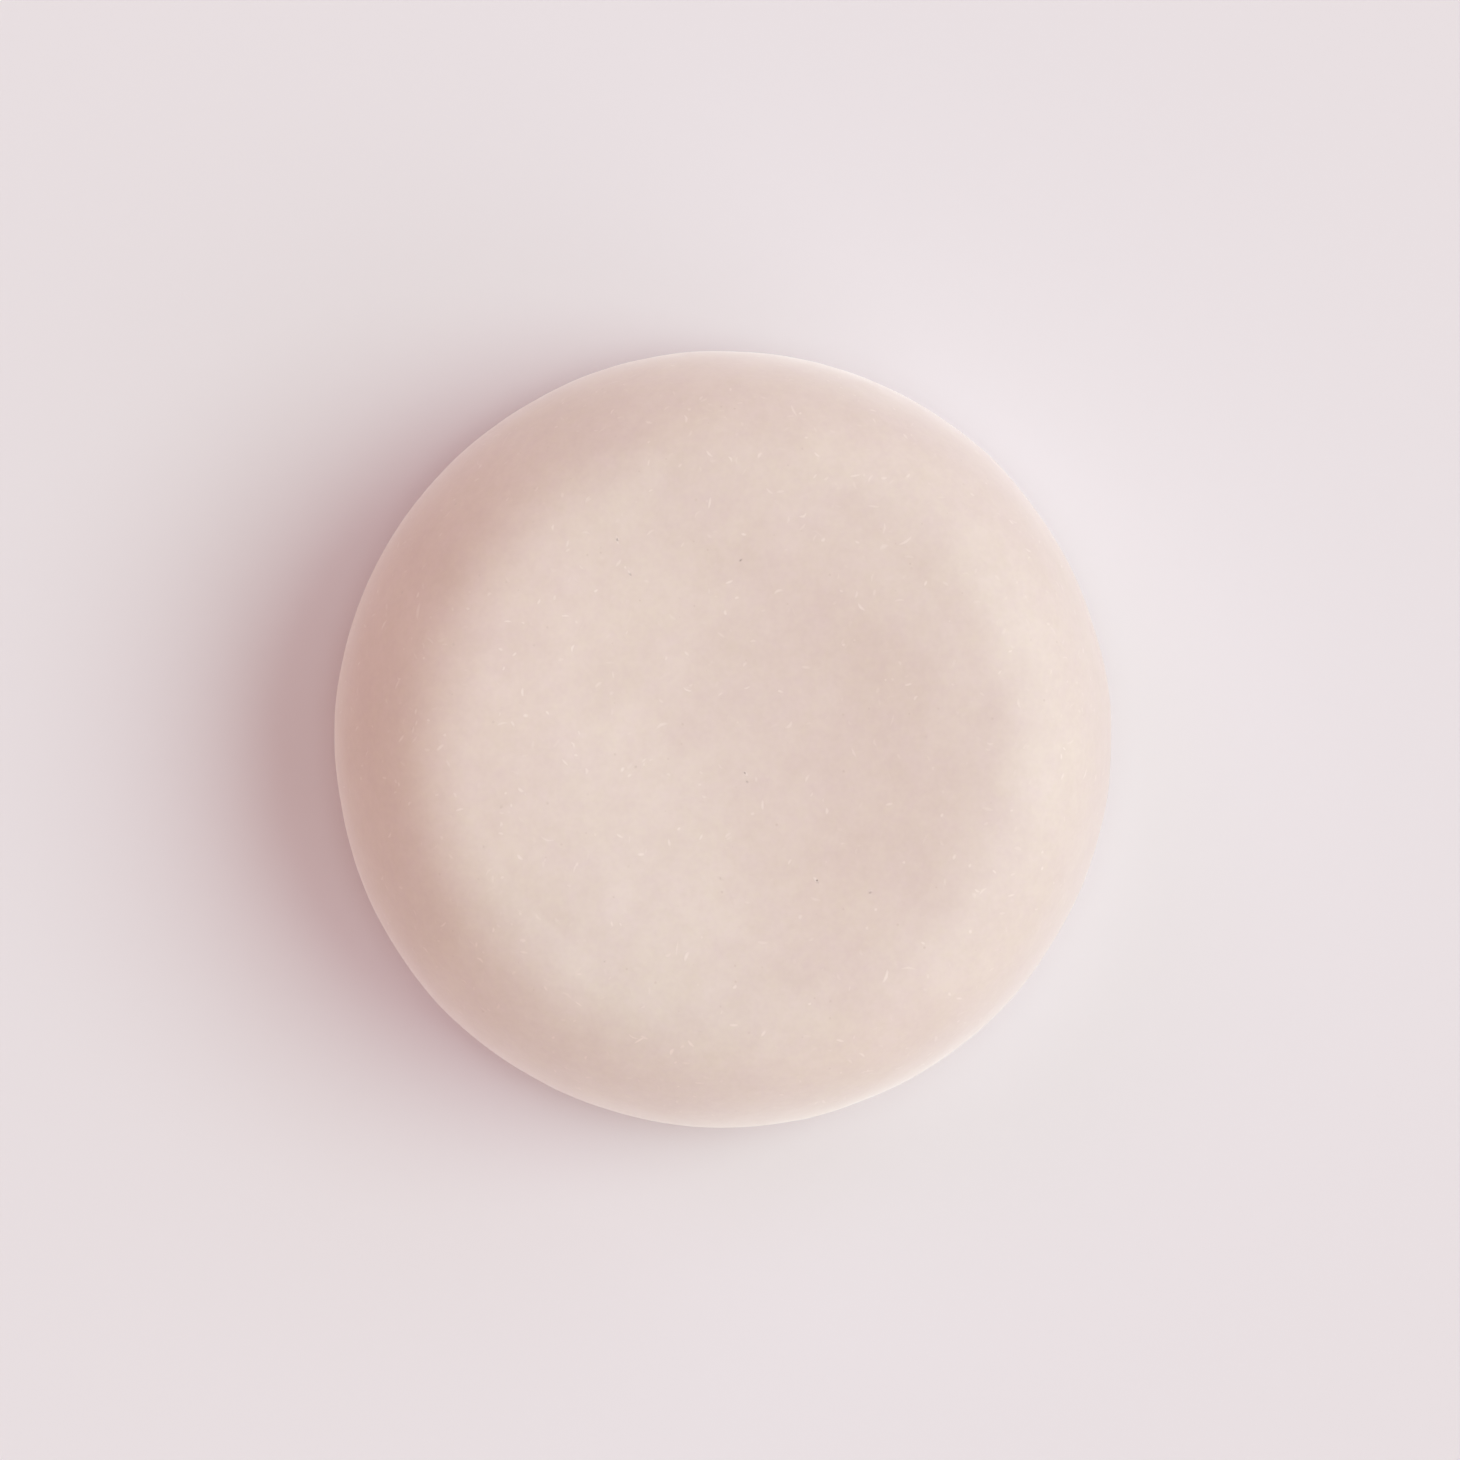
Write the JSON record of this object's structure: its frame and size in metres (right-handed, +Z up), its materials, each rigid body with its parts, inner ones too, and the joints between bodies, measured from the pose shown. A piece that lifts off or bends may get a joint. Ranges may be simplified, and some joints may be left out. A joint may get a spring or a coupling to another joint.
{
  "type": "shampoo bar",
  "caption": "Round solid shampoo bar: a plump pressed puck with a flat base, a bulged side, a broad rounded shoulder and a wide shallow dish in its top.",
  "frame": {"origin": "centre of the flat base, on the bar's axis", "axes": "+Z up along the axis, out of the dished top; the bar is round, so X and Y are any two square directions"},
  "size_m": [0.065, 0.065, 0.026],
  "materials": {
    "pressed_shampoo": "matte, waxy pressed paste, pale pink-beige with scattered paler flecks"
  },
  "bodies": {
    "root": {"shampoo_bar": "pressed_shampoo"}
  },
  "joints": []
}
